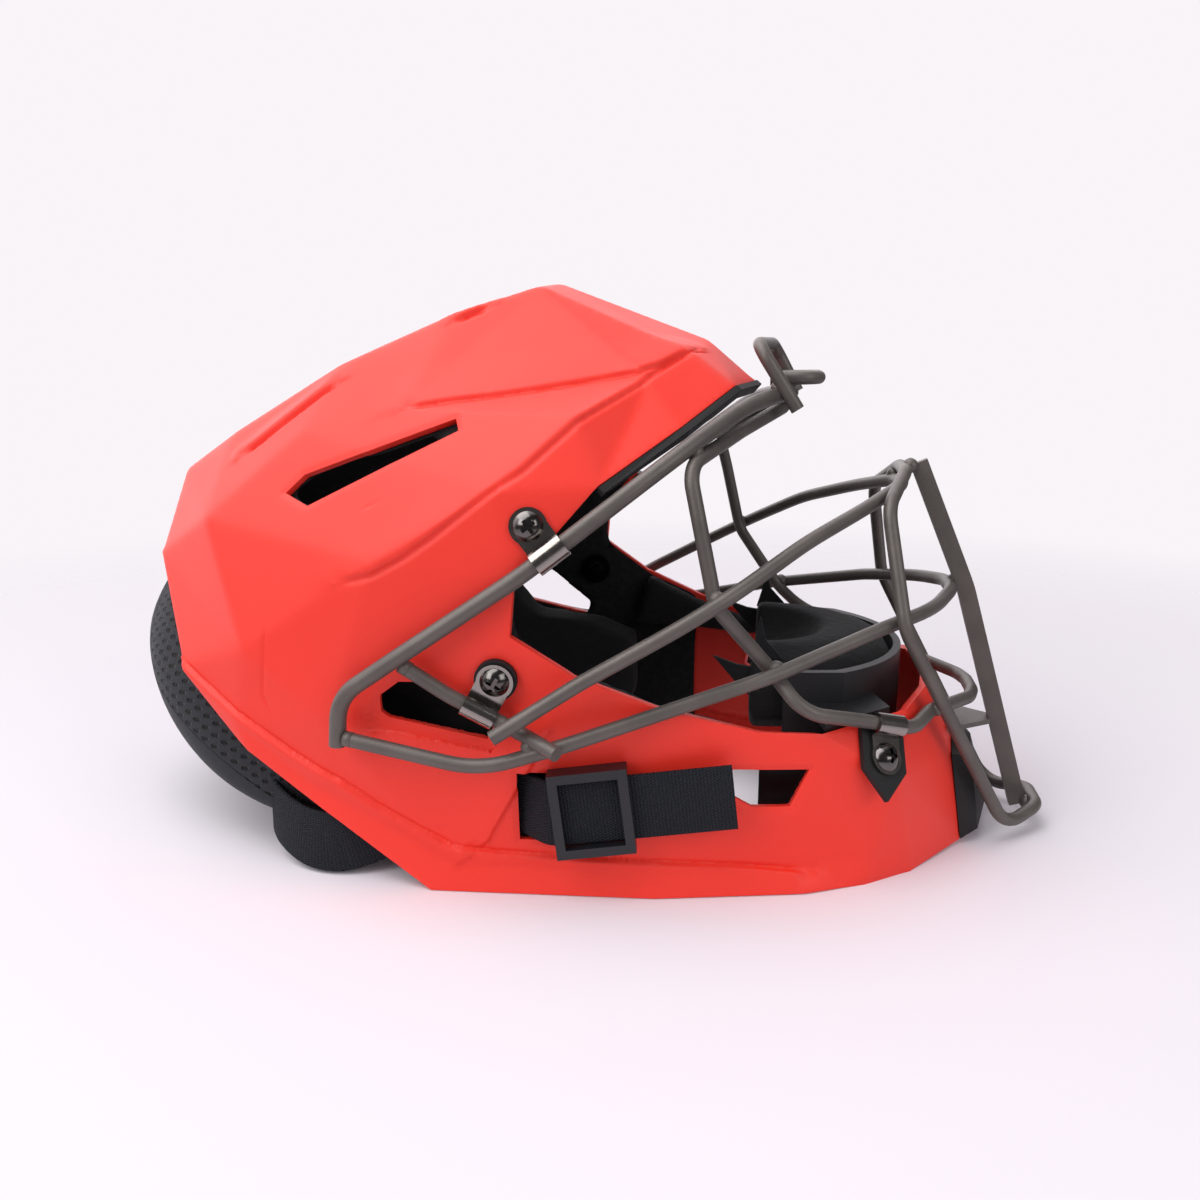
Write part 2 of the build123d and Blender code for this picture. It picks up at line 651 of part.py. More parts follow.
brow_pad_corners = ("brow_top", "brow_edge", "brow_edge_out", "brow_top_out", "brow_side", "crest_tip")
crown_pad_corners = ("crown_rear", "crown", "brow_top", "crown_rear_out", "crown_out", "brow_top_out")
back_pad_corners = ("back_top", "ridge_rear", "ridge_mid", "back_top_out", "ridge_rear_out", "ridge_mid_out")
temple_pad_corners = ("crest_foot", "crest_tip", "temple_top", "ear_top")
side_pad_corners = ("nape", "nape_low", "ear_rear", "jaw_rear")
jaw_pad_corners = ("cheek_rear", "cheek_mid", "cheek_front", "belt_rear", "belt_mid", "belt_front")
write("brow_pad", liner_pad(facets_with(*brow_pad_corners), brow_pad_thickness))
write("crown_pad", liner_pad(facets_with(*crown_pad_corners), crown_pad_thickness))
write("back_pad", liner_pad(facets_with(*back_pad_corners), crown_pad_thickness))
for node, corners, thickness in (
    ("temple_pad", temple_pad_corners, side_pad_thickness),
    ("side_pad", side_pad_corners, side_pad_thickness),
    ("jaw_pad", jaw_pad_corners, jaw_pad_thickness),
):
    pad = liner_pad(left_only(facets_with(*corners)), thickness)
    write(f"{node}_left", pad)
    write(f"{node}_right", mirrored(pad))


def between(start, end, share):
    """The point that lies a share of the way from start to end."""
    return start + (end - start) * share


# The neck pad of spacer mesh that curves round behind the head. Its two upper rows follow the
# shell's inner wall at the rim: (corner on the rim, corner above it, share of the way up).
tucked_shares = {
    "top_back": ("rim_back", "back_top", 0.3), "top_turn": ("rim_back_out", "back_top_out", 0.25),
    "top_side": ("rim_side", "nape_low", 0.3), "top_end": ("rim_foot", "band_low", 0.5),
    "rim_back": ("rim_back", "back_top", 0), "rim_turn": ("rim_back_out", "back_top_out", 0),
    "rim_side": ("rim_side", "nape_low", 0), "rim_end": ("rim_foot", "rim_low", 0.4),
}
hanging_shares = {
    "mid_back": (-0.452, 0, 0.382), "mid_turn": (-0.42, 0.192, 0.382),
    "mid_side": (-0.32, 0.317, 0.236), "mid_end": (-0.19, 0.35, 0.114),
    "low_back": (-0.44, 0, 0.264), "low_turn": (-0.4, 0.2, 0.218),
    "low_side": (-0.28, 0.317, 0.1), "low_end": (-0.185, 0.333, 0.068),
}
neck_places = {name: spot(shares) for name, shares in hanging_shares.items()}
for name, (lower, upper, share) in tucked_shares.items():
    wall = between(corner((lower, 1)), corner((upper, 1)), share)
    step = between(shell_steps[(lower, 1 if shell_places[lower].Y else 0)],
                   shell_steps[(upper, 1 if shell_places[upper].Y else 0)], share)
    place = wall + step * (shell_wall + seat_gap)
    neck_places[name] = Vector(place.X, place.Y if shell_places[lower].Y else 0, place.Z)
neck_facets = [
    (f"{upper}_{near}", f"{upper}_{far}", f"{lower}_{far}", f"{lower}_{near}")
    for upper, lower in (("top", "rim"), ("rim", "mid"), ("mid", "low"))
    for near, far in (("back", "turn"), ("turn", "side"), ("side", "end"))
]
neck_wound = both_sides(neck_facets, neck_places)
neck_steps = {}
for key in {key for facet in neck_wound for key in facet}:
    inward = spot(head_centre_shares) - corner(key, neck_places)
    neck_steps[key] = Vector(inward.X, inward.Y, 0).normalized()
neck_pad = layer(neck_wound, 0, neck_pad_thickness, 0, neck_draft_share, neck_places, neck_steps)
write("neck_pad", neck_pad)


# Chin cup, in plan: straight sides from the rear and a round nose
cup_rear_share, cup_spread_share = 0.25, 0.18
cup_shoulder_share, cup_shoulder_half_share = 0.305, 0.217
cup_front_share = 0.3675
cup_bottom_share = 0.209
chin_pad_rear_share = 0.2175
chin_hollow_shares = (0.215, 0, 0.475)
cup_ear_shares = [(0.265, 0.19, 0.2845), (0.335, 0.17, 0.2845)]
cup_ear_reach_shares = (0.06, 0.82)     # along the shell's edge from the cheek's dip to the chin


def cup_face(inset, rear_share):
    """The cup's outline in plan, drawn in by an inset at the sides and the front."""
    rear, shoulder = rear_share * span_length, cup_shoulder_share * span_length - inset
    shoulder_half = cup_shoulder_half_share * span_width - inset
    rear_half = shoulder_half + (shoulder - rear) * cup_spread_share
    nose = (cup_front_share * span_length - inset, 0)
    sides = Polyline((shoulder, shoulder_half), (rear, rear_half),
                     (rear, -rear_half), (shoulder, -shoulder_half))
    return make_face(sides + ThreePointArc((shoulder, -shoulder_half), nose, (shoulder, shoulder_half)))


cup_bottom = cup_bottom_share * span_height
chin_cup = Pos(0, 0, cup_bottom) * extrude(cup_face(0, cup_rear_share), amount=cup_height)
chin_cup -= Pos(0, 0, cup_bottom + cup_wall) * extrude(cup_face(cup_wall, 0), amount=cup_height)
floor_hole = Cylinder(cup_floor_hole / 2, cut_overrun)
chin_cup -= Pos(cup_shoulder_share * span_length, 0, cup_bottom) * floor_hole
lift, ear_top = Vector(0, 0, seat_gap), Vector(0, 0, ear_thickness)
edge_keys = (("cheek_dip", 1), ("chin_flange", 1))
edge_middles = [corner(key) + shell_steps[key] * (shell_wall / 2) for key in edge_keys]
reach = [between(*edge_middles, share) + lift for share in cup_ear_reach_shares]
ear_sides = (spots(cup_ear_shares), reach)
ear = ruled_skin([[rear, front, front + ear_top, rear + ear_top] for rear, front in ear_sides])
chin_cup += ear
chin_cup += mirrored(ear)
chin_cup -= Pos(0, 0, cup_bottom + cup_wall) * extrude(cup_face(cup_wall, 0), amount=cup_height)
write("chin_cup", chin_cup)

pad_bottom = cup_bottom + cup_wall + seat_gap
pad_levels = [
    (0, chin_pad_round), (chin_pad_round, 0), (chin_pad_height - chin_pad_slope, 0),
    (chin_pad_height - chin_pad_round / 2, chin_pad_round / 2), (chin_pad_height, chin_pad_slope),
]
pad_sections = [
    Pos(0, 0, pad_bottom + up) * cup_face(cup_wall + seat_gap + inset, chin_pad_rear_share)
    for up, inset in pad_levels
]
chin_pad = loft(pad_sections, ruled=True)
chin_pad -= Pos(spot(chin_hollow_shares)) * Sphere(chin_hollow_radius)
write("chin_pad", chin_pad)

# Rubber bumper on the front of the chin
bumper_corners = ("chin_nose_out", "chin_nose", "chin_toe", "chin_toe_out")
bumper_facets = [facet[::-1] for facet in facets_with(*bumper_corners)]
bumper = layer(bumper_facets, -seat_gap, -bumper_thickness, 0, bumper_draft_share)
write("chin_bumper", bumper)

# Sheet bracket between the front of the chin and the rear edge of the centre bar
bracket_share, bracket_half_share = 0.767, 0.62
root = between(shell_places["chin_lip"], shell_places["chin_nose"], bracket_share)
root_out = between(shell_places["chin_lip_out"], shell_places["chin_nose_out"], bracket_share)
root_side = between(root, root_out, bracket_half_share)
bar_top, bar_foot = spot(centre_bar_shares[1]), spot(centre_bar_shares[2])
bar_heading = (bar_foot - bar_top).normalized()
bar_here = between(bar_top, bar_foot, (bar_top.Z - root.Z) / (bar_top.Z - bar_foot.Z))
tip_x = bar_here.X - bar_depth / 2 / abs(bar_heading.Z) - seat_gap
outline = [(root_side.X, -root_side.Y), (root.X, 0), (root_side.X, root_side.Y),
           (tip_x, bar_thickness), (tip_x, -bar_thickness)]
plate = extrude(Polygon(*outline, align=None), amount=bracket_sheet)
write("chin_bracket", Pos(bracket_gap, 0, root.Z) * plate)


def upright_section(point, along, half_height, half_thickness):
    """Four points of a band's section that stands upright and square to its run."""
    along = along.normalized()
    across = (Vector(0, 0, 1) - along * along.Z).normalized()
    out = across.cross(along).normalized()
    up, off = across * half_height, out * half_thickness
    return [point - up - off, point - up + off, point + up + off, point + up - off]


def band(points, height, thickness):
    """A band of webbing through the given points, standing on its edge."""
    sections = []
    ends = [points[0] * 2 - points[1]] + points + [points[-1] * 2 - points[-2]]
    for before, here, after in zip(ends, points, ends[2:]):
        back, ahead = (here - before).normalized(), (after - here).normalized()
        sections.append(upright_section(here, back + ahead, height / 2, thickness / 2))
    return ruled_skin(sections)


# Elastic strap: from its cut tail back through the slider, in through the slot in the jaw,
# out below the rear rim down to the table, and up to the neck pad
strap_shares = [(0.212, 0.389, 0.188), (0.055, 0.425, 0.152), (0.047, 0.419, 0.152), (0.02, 0.379, 0.15)]
strap_shares += [(0.008, 0.374, 0.148), (-0.05, 0.379, 0.136), (-0.112, 0.377, 0.1), (-0.155, 0.372, 0.069)]
strap_shares += [(-0.195, 0.366, 0.057), (-0.23, 0.353, 0.068), (-0.255, 0.338, 0.09), (-0.275, 0.334, 0.115)]
strap = band(spots(strap_shares), strap_width, strap_thickness)
write("strap_left", strap)
write("strap_right", mirrored(strap))


# Slider: a tri-glide with two bars in front of the strap and one behind it
slider_place_share = 0.785
tail, bend = spot(strap_shares[0]), spot(strap_shares[1])
slider_plane = Plane(origin=between(tail, bend, slider_place_share), x_dir=tail - bend,
                     z_dir=(tail - bend).cross(Vector(0, 0, -1)))
opening = strap_width / 2 + slider_clearance
level = strap_thickness / 2 + slider_clearance


def slider_bars():
    """The slider about the strap's middle: x along the strap, y across it, z outward."""
    rail = Box(slider_length, slider_bar, 2 * (level + slider_depth))
    cross_bar = Box(slider_bar, 2 * opening, slider_depth)
    body = Pos(0, opening + slider_bar / 2) * rail + Pos(0, -opening - slider_bar / 2) * rail
    for along in (-1, 1):
        body += Pos(along * (slider_length - slider_bar) / 2, 0, level + slider_depth / 2) * cross_bar
    return body + Pos(0, 0, -level - slider_depth / 2) * cross_bar


slider = slider_plane * slider_bars()
write("slider_left", slider)
write("slider_right", mirrored(slider))
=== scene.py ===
import math
import random

import bmesh
import bpy
import numpy as np
from mathutils import Matrix, Vector
from mathutils.bvhtree import BVHTree
from mathutils.kdtree import KDTree


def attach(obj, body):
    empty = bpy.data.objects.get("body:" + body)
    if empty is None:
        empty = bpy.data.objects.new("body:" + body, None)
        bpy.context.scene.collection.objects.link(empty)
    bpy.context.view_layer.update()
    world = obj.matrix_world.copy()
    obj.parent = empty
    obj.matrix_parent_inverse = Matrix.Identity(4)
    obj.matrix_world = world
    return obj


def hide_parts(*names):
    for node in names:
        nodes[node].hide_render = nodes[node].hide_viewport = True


# The helmet on its table, seen as in the studio picture: from the wearer's right, a little
# above, by a camera close enough to spread the near cheek. Metres, in the frame of the
# finished helmet.
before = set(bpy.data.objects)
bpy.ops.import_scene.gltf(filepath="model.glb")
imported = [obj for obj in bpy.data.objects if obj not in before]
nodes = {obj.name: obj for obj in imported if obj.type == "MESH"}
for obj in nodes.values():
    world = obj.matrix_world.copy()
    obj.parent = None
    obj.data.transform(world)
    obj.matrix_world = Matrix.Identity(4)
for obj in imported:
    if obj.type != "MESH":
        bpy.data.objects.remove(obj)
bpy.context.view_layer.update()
MM = 0.001

camera_place = Vector((84.9, -436, 190)) * MM
camera_right = Vector((0.985, 0.175, 0)).normalized()
camera_heading = Vector((-0.17, 0.959, -0.225)).normalized()
camera_turn = Matrix((camera_right, camera_right.cross(camera_heading), -camera_heading)).transposed()
camera = bpy.data.objects.new("camera", bpy.data.cameras.new("camera"))
camera.data.sensor_width = 36
camera.data.lens = 31.5
camera.data.clip_start = 0.01
camera.matrix_world = Matrix.Translation(camera_place) @ camera_turn.to_4x4()
bpy.context.scene.collection.objects.link(camera)
bpy.context.scene.camera = camera
bpy.context.scene.view_settings.view_transform = "Standard"


# The shell is one moulding of matt red plastic. Its mesh is the outer skin, divided finely so
# that the creases between the facets round over, carved with the moulding's grooves, lips and
# flange, and then given its wall.
class Socket:
    """A shader socket that can be added, multiplied and compared."""

    def __init__(self, tree, socket):
        self.tree, self.socket = tree, socket

    def math(self, operation, *others, clamp=False):
        node = self.tree.nodes.new("ShaderNodeMath")
        node.operation = operation
        node.use_clamp = clamp
        for place, value in zip(node.inputs, (self, *others)):
            if isinstance(value, Socket):
                self.tree.links.new(value.socket, place)
            else:
                place.default_value = value
        return Socket(self.tree, node.outputs[0])

    def __add__(self, other):
        return self.math("ADD", other)

    __radd__ = __add__

    def __mul__(self, other):
        return self.math("MULTIPLY", other)

    __rmul__ = __mul__

    def __sub__(self, other):
        return self.math("SUBTRACT", other)

    def __rsub__(self, other):
        return (self * -1) + other

    def clamped(self):
        return self.math("ADD", 0.0, clamp=True)

    def sine(self):
        return self.math("SINE")


class Graph:
    """A node tree, and the one way to add a node to it."""

    def __init__(self, tree):
        self.tree = tree

    def node(self, kind, settings=None, **values):
        """A new node: its settings first, then the values or links of its sockets."""
        node = self.tree.nodes.new(kind)
        for name, value in (settings or {}).items():
            setattr(node, name, value)
        for name, value in values.items():
            place = node.inputs[name.replace("_", " ")]
            if isinstance(value, Socket):
                self.tree.links.new(value.socket, place)
            elif isinstance(value, bpy.types.NodeSocket):
                self.tree.links.new(value, place)
            else:
                place.default_value = value
        return node

    def out(self, node, name):
        return Socket(self.tree, node.outputs[name])

    def axes(self, place):
        """The three numbers of a place."""
        node = self.node("ShaderNodeSeparateXYZ", None, Vector=place)
        return [Socket(self.tree, output) for output in node.outputs]

    def ramp(self, value, *stops):
        """A grey ramp from one (place, level) stop to another."""
        node = self.node("ShaderNodeValToRGB", None, Fac=value)
        for element, (place, level) in zip(node.color_ramp.elements, stops):
            element.position = place
            element.color = (level, level, level, 1)
        return self.out(node, "Color")

    def mix_shaders(self, share, first, second, output):
        """Give an output the first of two shaders, or the second by its share."""
        node = self.node("ShaderNodeMixShader", None, Fac=share)
        self.tree.links.new(first.outputs[0], node.inputs[1])
        self.tree.links.new(second.outputs[0], node.inputs[2])
        self.tree.links.new(node.outputs[0], self.tree.nodes[output].inputs["Surface"])


class Finish(Graph):
    """A material with one Principled shader."""

    def __init__(self, name, colour, roughness, metallic=0.0, sheen=0.0, specular=0.5):
        self.material = bpy.data.materials.new(name)
        self.material.use_nodes = True
        super().__init__(self.material.node_tree)
        self.shader = self.tree.nodes["Principled BSDF"]
        for place, value in (("Base Color", (*colour, 1)), ("Roughness", roughness), ("Metallic", metallic),
                             ("Sheen Weight", sheen), ("Sheen Roughness", 0.4),
                             ("Specular IOR Level", specular)):
            self.shader.inputs[place].default_value = value
        where = self.node("ShaderNodeTexCoord")
        self.place, self.weave = where.outputs["Object"], where.outputs["UV"]

    def noise(self, scale, detail=3.0):
        """Cloudy noise, scale times a metre."""
        node = self.node("ShaderNodeTexNoise", None, Vector=self.place, Scale=scale, Detail=detail,
                         Roughness=0.55)
        return self.out(node, "Fac")

    def cells(self, scale):
        """Distance to the middle of round cells, scale of them to a metre."""
        return self.out(self.node("ShaderNodeTexVoronoi", None, Vector=self.place, Scale=scale), "Distance")

    def tint(self, share, first, second):
        """The base colour goes from a first to a second colour with a share."""
        node = self.node("ShaderNodeMix", {"data_type": "RGBA"})
        self.tree.links.new(share.socket, node.inputs["Factor"])
        colour_inputs, colour_output = node.inputs[6:8], node.outputs[2]
        for place, colour in zip(colour_inputs, (first, second)):
            place.default_value = (*colour, 1)
        self.tree.links.new(colour_output, self.shader.inputs["Base Color"])

    def feed(self, name, value):
        """Let a value drive one of the shader's sockets."""
        self.tree.links.new(value.socket, self.shader.inputs[name])

    def bump(self, height, strength, distance):
        """Raise the surface by a height, over any bump that it has."""
        node = self.node("ShaderNodeBump", None, Strength=strength, Distance=distance, Height=height)
        last = self.shader.inputs["Normal"]
        if last.is_linked:
            self.tree.links.new(last.links[0].from_socket, node.inputs["Normal"])
        self.tree.links.new(node.outputs["Normal"], last)


def link(name, mesh, body="helmet"):
    """A new smooth piece from a mesh, riding on a body."""
    piece = bpy.data.objects.new(name, mesh)
    bpy.context.scene.collection.objects.link(piece)
    mesh.polygons.foreach_set("use_smooth", [True] * len(mesh.polygons))
    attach(piece, body)
    return piece


def piece_of(name, grid):
    """A new smooth piece from a grid, which ends there."""
    mesh = bpy.data.meshes.new(name)
    grid.to_mesh(mesh)
    grid.free()
    return link(name, mesh)


def wear(piece, finish):
    """Give a piece its material."""
    piece.data.materials.clear()
    piece.data.materials.append(finish.material)


def thicken(piece, thickness, offset=-1):
    """Give a skin its wall: behind it, or half on each side with no offset."""
    wall = piece.modifiers.new("wall", "SOLIDIFY")
    wall.thickness = thickness
    wall.offset = offset


def soften(piece, width, segments=2, angle=35):
    """Round the edges of a piece that turn by more than an angle in degrees."""
    bevel = piece.modifiers.new("rounded_edges", "BEVEL")
    bevel.width = width
    bevel.segments = segments
    bevel.limit_method = "ANGLE"
    bevel.angle_limit = math.radians(angle)


shell_wall = 3.2 * MM
shell_grain, fine_grain, fine_reach = 3.8 * MM, 1.0 * MM, 3.0 * MM
head_centre = Vector((-21.1, 0, 72.6)) * MM
node_weld, skin_weld = 0.01 * MM, 0.05 * MM
step_in, wall_reach, turned_back, same_facet = 0.01, 1.6, -0.8, 0.995
shortest_vent, longest_vent = 40 * MM, 260 * MM
lip_drop, lip_width, line_tip = 0.7 * MM, 1.5 * MM, 5 * MM


def welded(node):
    """A node's mesh with its split points joined."""
    grid = bmesh.new()
    grid.from_mesh(nodes[node].data)
    bmesh.ops.remove_doubles(grid, verts=grid.verts, dist=node_weld)
    bmesh.ops.recalc_face_normals(grid, faces=grid.faces)
    return grid


def outer_skin(node, wall):
    """The outer faces of a hollow node: about a wall behind each lies a parallel face."""
    grid = welded(node)
    tree = BVHTree.FromBMesh(grid)
    kept = set()
    for face in grid.faces:
        middle = face.calc_center_median()
        _, normal, _, depth = tree.ray_cast(middle - face.normal * step_in * MM, -face.normal)
        behind = depth is not None and depth < wall_reach * wall and normal.dot(face.normal) < turned_back
        if behind and face.normal.dot(middle - head_centre) > 0:
            kept.add(face)
    fresh = set(kept)
    while fresh:
        beside = {other for face in fresh for edge in face.edges for other in edge.link_faces
                  if other not in kept and other.normal.dot(face.normal) > same_facet}
        kept |= beside
        fresh = beside
    bmesh.ops.delete(grid, geom=[face for face in grid.faces if face not in kept], context="FACES")
    bmesh.ops.remove_doubles(grid, verts=grid.verts, dist=skin_weld)
    return grid


def triangles_of(grid):
    """The points and triangles of a grid as arrays."""
    bmesh.ops.triangulate(grid, faces=grid.faces)
    grid.verts.index_update()
    points = np.array([vert.co[:] for vert in grid.verts])
    triangles = np.array([[vert.index for vert in face.verts] for face in grid.faces])
    grid.free()
    return points, triangles


def edges_of(triangles):
    """Each edge once, the three edge numbers of each triangle, and how many triangles use each."""
    ends = np.sort(triangles[:, [0, 1, 1, 2, 2, 0]].reshape(-1, 2), axis=1)
    edges, number, uses = np.unique(ends, axis=0, return_inverse=True, return_counts=True)
    return edges, number.reshape(-1, 3), uses


def grind(points, triangles, length, near=None):
    """Halve the edges longer than a length, everywhere or where near says, longest edges first."""
    for _ in range(20):
        edges, number, _ = edges_of(triangles)
        span = np.linalg.norm(points[edges[:, 0]] - points[edges[:, 1]], axis=1)
        cut = span > length
        if near and cut.any():
            cut[cut] = near(points[edges[cut]].mean(axis=1))
        if not cut.any():
            break
        rows = np.arange(len(triangles))
        longest = span[number].argmax(axis=1)
        while True:
            short = cut[number].any(axis=1) & ~cut[number[rows, longest]]
            if not short.any():
                break
            cut[number[rows, longest][short]] = True
        middle = np.full(len(edges), -1)
        middle[cut] = len(points) + np.arange(cut.sum())
        points = np.vstack([points, points[edges[cut]].mean(axis=1)])
        turn = (longest[:, None] + np.arange(3)) % 3
        a, b, c = np.take_along_axis(triangles, turn, 1).T
        ab, bc, ca = middle[np.take_along_axis(number, turn, 1)].T
        kept = triangles[ab < 0]
        halved = ab >= 0
        fresh = [kept]
        for split, third, near_part, far_part in ((ca, (a, ab, c), (a, ab, ca), (ca, ab, c)),
                                                  (bc, (ab, b, c), (ab, b, bc), (ab, bc, c))):
            whole, parted = halved & (split < 0), halved & (split >= 0)
            fresh.append(np.stack(third, 1)[whole])
            fresh += [np.stack(near_part, 1)[parted], np.stack(far_part, 1)[parted]]
        triangles = np.vstack(fresh)
    return points, triangles


def relax(points, triangles, passes, border_passes):
    """Draw each point half way to the mean of its neighbours, and border points along the border."""
    edges, _, uses = edges_of(triangles)
    rim = np.zeros((len(points), 1), bool)
    rim[edges[uses == 1].ravel()] = True
    for pairs, held, times in ((edges[uses == 1], ~rim, border_passes), (edges, rim, passes)):
        count = np.maximum(np.bincount(pairs.ravel(), minlength=len(points)), 1)[:, None]
        for _ in range(times):
            total = np.zeros_like(points)
            np.add.at(total, pairs[:, 0], points[pairs[:, 1]])
            np.add.at(total, pairs[:, 1], points[pairs[:, 0]])
            points = np.where(held, points, points + (total / count - points) / 2)
    return points


def normals_of(points, triangles):
    """The outward normal at each point."""
    a, b, c = (points[triangles[:, i]] for i in range(3))
    turn = np.cross(b - a, c - a)
    total = np.zeros_like(points)
    for i in range(3):
        np.add.at(total, triangles[:, i], turn)
    return total / np.maximum(np.linalg.norm(total, axis=1), 1e-12)[:, None]


def border_loops(points, triangles):
    """The border as lists of points that hang together, each with its length."""
    edges, _, uses = edges_of(triangles)
    beside = {}
    for start, end in edges[uses == 1].tolist():
        beside.setdefault(start, []).append(end)
        beside.setdefault(end, []).append(start)
    loops, left = [], set(beside)
    while left:
        loop, fresh = [], [min(left)]
        left.discard(fresh[0])
        while fresh:
            here = fresh.pop()
            loop.append(here)
            for other in beside[here]:
                if other in left:
                    left.discard(other)
                    fresh.append(other)
        both_ways = sum(np.linalg.norm(points[here] - points[other])
                        for here in loop for other in beside[here])
        loops.append((both_ways / 2, loop))
    return loops


def tree_of(points, numbers):
    """A search tree of some of the points."""
    tree = KDTree(len(numbers))
    for number in numbers:
        tree.insert(points[number], number)
    tree.balance()
    return tree


def vent_tree(points, loops):
    """A search tree of the borders of the vents and slots: neither screw holes nor whole rims."""
    vents = [loop for length, loop in loops if shortest_vent < length < longest_vent]
    return tree_of(points, [number for loop in vents for number in loop])


def piece_of_triangles(name, points, triangles):
    """A new smooth piece from points and triangles."""
    mesh = bpy.data.meshes.new(name)
    mesh.from_pydata(points.tolist(), [], triangles.tolist())
    return link(name, mesh)


def to_line(points, line):
    """Distance of each point to a line of runs on either cheek, its side, and distance to the ends."""
    here = np.array(points)
    here[:, 1] = abs(here[:, 1])
    line = np.array(line) * MM
    nearest, side = np.full(len(here), np.inf), np.zeros(len(here))
    for start, end in zip(line, line[1:]):
        run = end - start
        along = np.clip((here - start) @ run / (run @ run), 0, 1)
        away = here - start - along[:, None] * run
        distance = np.linalg.norm(away, axis=1)
        turn = (np.cross(away, run) * (here - head_centre)).sum(axis=1)
        side = np.where(distance < nearest, np.sign(turn), side)
        nearest = np.minimum(nearest, distance)
    tips = np.minimum(np.linalg.norm(here - line[0], axis=1), np.linalg.norm(here - line[-1], axis=1))
    return nearest, side, tips


# Carved lines on the left half, rear to front, in millimetres: points, depth and half width of
# the groove, rise of the surface beside it (above it, or below if the fade is negative), fade
carved = (
    ([(-51, 68, 172), (-36, 66, 175), (-21, 64, 176), (-7, 62, 178), (18, 58, 182), (32, 57, 185),
      (39, 49, 187), (48, 35, 192)], 0.75, 1.2, 0.9, 20),
    ([(-66, 102, 114), (-54, 103, 117), (-43, 102, 123), (-33, 102, 130), (-15, 100, 144), (-2, 95, 153),
      (15, 84, 169), (33, 62, 181), (40, 49, 187), (51, 25, 193)], 0.9, 1.3, 0.7, 14),
    ([(-123, 57, 153), (-115, 56, 159), (-108, 55, 165), (-102, 54, 169), (-96, 53, 173), (-85, 51, 180)],
     2.0, 1.4, 1.4, 9),
    ([(-42, 40, 203), (-36, 37, 206), (-29, 34, 209)], 1.8, 1.3, 0.8, 8),
    ([(-98, 97, 97), (-99, 98, 83), (-101, 96, 69), (-97, 95, 62)], 0.6, 0.8, 0, 5),
    ([(-63, 91, 137), (-53, 90, 142)], 0.35, 0.8, 0, 5),
    ([(-21, 97, 15), (-16, 97, 19), (-7, 97, 36), (3, 98, 53), (6, 98, 60)], 0, 1.2, 1.8, 14),
    ([(-146, 76, 75), (-124, 86, 65), (-111, 92, 59), (-100, 94, 53), (-91, 95, 48), (-72, 98, 39),
      (-57, 98, 30), (-42, 98, 23), (-30, 98, 17), (-14, 96, 15), (10, 94, 14), (42, 91, 13), (74, 82, 10.5),
      (98, 77, 7.5)],
     0.5, 0.9, 1.9, -40),
    ([(-58, 98, 73), (-55, 98, 62), (-14, 98, 54.5), (-8, 98, 63)], 0, 0.8, -1.3, 13),
)


def carve(points, triangles):
    """Press the carved lines and the vents' soft lips into the skin."""
    lift = np.array([-lip_drop * math.exp(-(vent_border.find(point)[2] / lip_width) ** 2)
                     for point in points])
    for line, depth, half, rise, fade in carved:
        distance, side, tips = to_line(points, line)
        toward = np.clip(tips / line_tip, 0, 1)
        beside = side * math.copysign(1, fade) > 0
        plateau = np.clip(distance / (half * MM), 0, 1) * np.clip(1 - distance / (abs(fade) * MM), 0, 1)
        lift += toward * (beside * plateau * rise - depth * np.exp(-(distance / (half * MM)) ** 2)) * MM
    return points + normals_of(points, triangles) * lift[:, None]


def near_detail(points):
    """Which points are near a carved line or a vent, where the skin is divided finer."""
    close = np.zeros(len(points), bool)
    for line, *_ in carved:
        close |= to_line(points, line)[0] < fine_reach
    return [bool(near) or vent_border.find(point)[2] < fine_reach for near, point in zip(close, points)]


skin, faces = grind(*triangles_of(outer_skin("helmet_shell", shell_wall)), shell_grain)
skin = relax(skin, faces, passes=1, border_passes=0)
all_loops = border_loops(skin, faces)
whole_border = tree_of(skin, [number for _, loop in all_loops for number in loop])
vent_border = vent_tree(skin, all_loops)
liner_skin, liner_faces = skin, faces
skin, faces = grind(skin, faces, fine_grain, near_detail)
skin = relax(skin, faces, passes=1, border_passes=0)
vent_border = vent_tree(skin, border_loops(skin, faces))
shell = piece_of_triangles("helmet_shell_moulding", carve(skin, faces), faces)
thicken(shell, shell_wall)
soften(shell, 0.6 * MM, segments=2, angle=60)
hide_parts("helmet_shell")

red = Finish("red_moulding", (0.80, 0.029, 0.0145), roughness=0.5, specular=0.45)
grain = red.noise(1400, detail=2)
haze = red.noise(22, detail=4)
red.tint(haze, (0.79, 0.0275, 0.0135), (0.82, 0.031, 0.0155))
red.feed("Roughness", 0.42 + haze * 0.12 + grain * 0.05)
red.bump(grain, strength=0.12, distance=0.0002)
wear(shell, red)


# Black liner: a thin moulded sheet behind the dome and cheeks, cut back a little from every
# edge and ending before the front of the jaw. A soft cushion lies over each ear, and foam pads
# covered with cloth are held by hook patches.
liner_depth, liner_sheet = 4.7 * MM, 0.14 * MM
liner_front, jaw_top, liner_border = 43 * MM, 100 * MM, 1.3 * MM
wanted = [whole_border.find(middle)[2] > liner_border
          and not (middle[2] < jaw_top and middle[0] > liner_front)
          for middle in liner_skin[liner_faces].mean(axis=1)]
liner_skin = liner_skin - normals_of(liner_skin, liner_faces) * liner_depth
used, liner_faces = np.unique(liner_faces[wanted], return_inverse=True)
liner_faces = liner_faces.reshape(-1, 3)
liner_skin = relax(liner_skin[used], liner_faces, passes=0, border_passes=6)
liner = piece_of_triangles("liner_sheet", liner_skin, liner_faces)
thicken(liner, liner_sheet)

